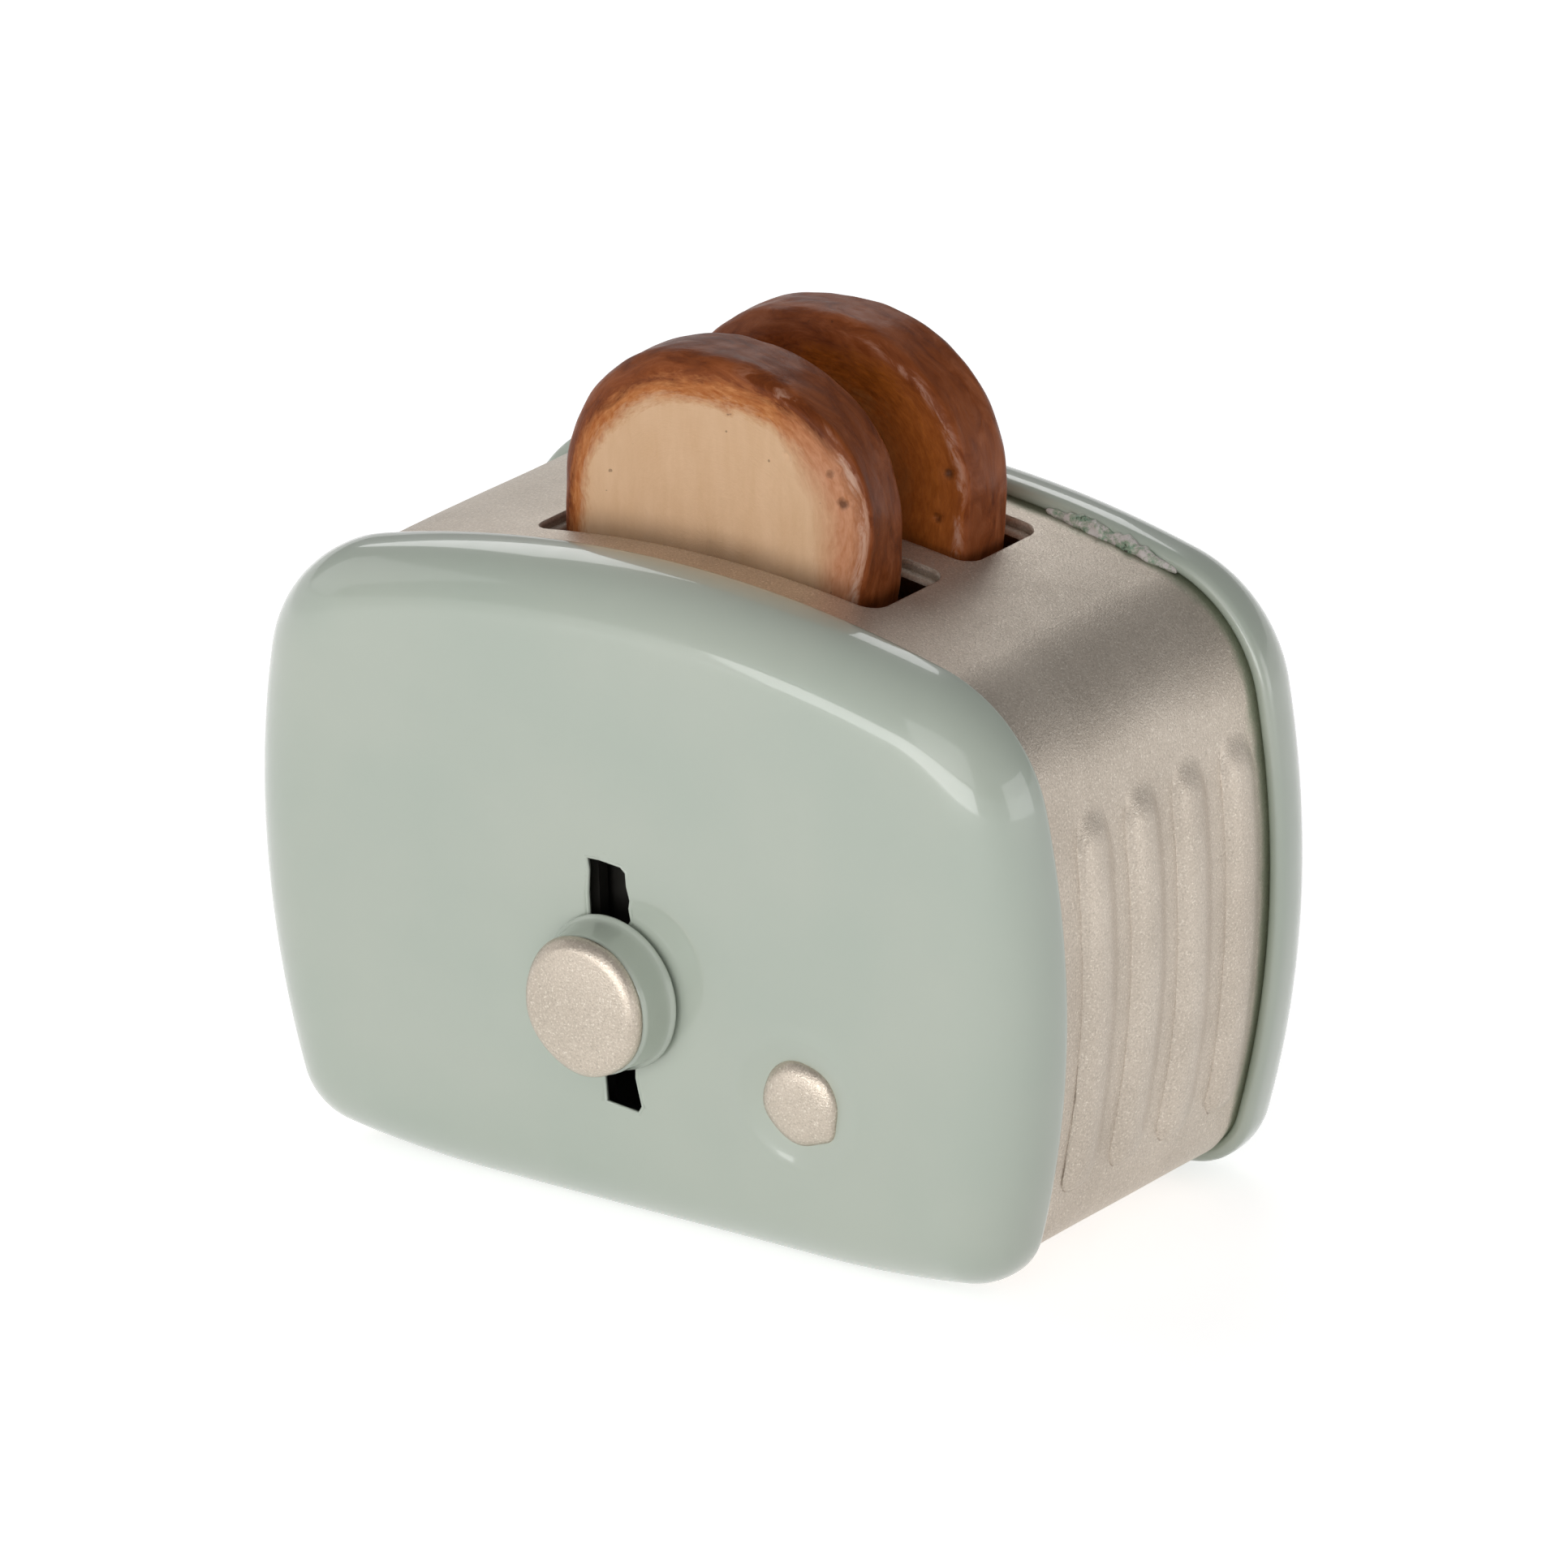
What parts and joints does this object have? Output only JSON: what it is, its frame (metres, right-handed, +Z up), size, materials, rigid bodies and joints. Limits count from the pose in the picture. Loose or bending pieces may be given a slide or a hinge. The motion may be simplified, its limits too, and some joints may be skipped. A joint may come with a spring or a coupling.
{
  "type": "toy toaster",
  "caption": "Dollhouse-size toy toaster: two pressed covers, a ribbed wrap-around body, a sliding lever knob and lift-out slices of toast.",
  "frame": {"origin": "middle of the footprint on the surface it stands on, knob included", "axes": "+Z up, +X to the right seen from the front, the front cover and knob face -Y"},
  "size_m": [0.052, 0.0336, 0.0485],
  "materials": {
    "sage_enamel": "glossy sage-green enamel",
    "silver_paint": "warm silver metallic paint",
    "plain_tin": "plain tin plate",
    "bright_steel": "bright steel",
    "solder": "dull solder",
    "brass_bush": "plain brass",
    "painted_bread": "cast resin, brush painted, satin varnish"
  },
  "bodies": {
    "casing": {"front_cover": "sage_enamel", "back_cover": "sage_enamel", "body_shell": "silver_paint", "base_plate": "plain_tin", "front_solder": "solder", "rear_solder": "solder", "guide_bracket": "plain_tin", "left_post": "bright_steel", "right_post": "bright_steel", "post_clips": "bright_steel", "button": "silver_paint", "button_clip": "bright_steel"},
    "lever": {"carriage": "plain_tin", "left_bush": "brass_bush", "right_bush": "brass_bush", "front_tray": "plain_tin", "rear_tray": "plain_tin", "tray_rivets": "bright_steel", "friction_spring": "bright_steel", "spring_rivet": "bright_steel", "lever_stem": "bright_steel", "lever_knob": "sage_enamel", "knob_cap": "silver_paint"},
    "front_bread": {"front_slice": "painted_bread"},
    "rear_bread": {"rear_slice": "painted_bread"}
  },
  "joints": [
    {"name": "lever_slide", "type": "slide", "parent": "casing", "child": "lever", "axis": [0, -0.0541, 0.9985], "range_m": [-0.0052, 0.0058]},
    {"name": "front_slice_lift", "type": "slide", "parent": "lever", "child": "front_bread", "axis": [0, 0, 1], "range_m": [0, 0.015]},
    {"name": "rear_slice_lift", "type": "slide", "parent": "lever", "child": "rear_bread", "axis": [0, 0, 1], "range_m": [0, 0.015]}
  ]
}
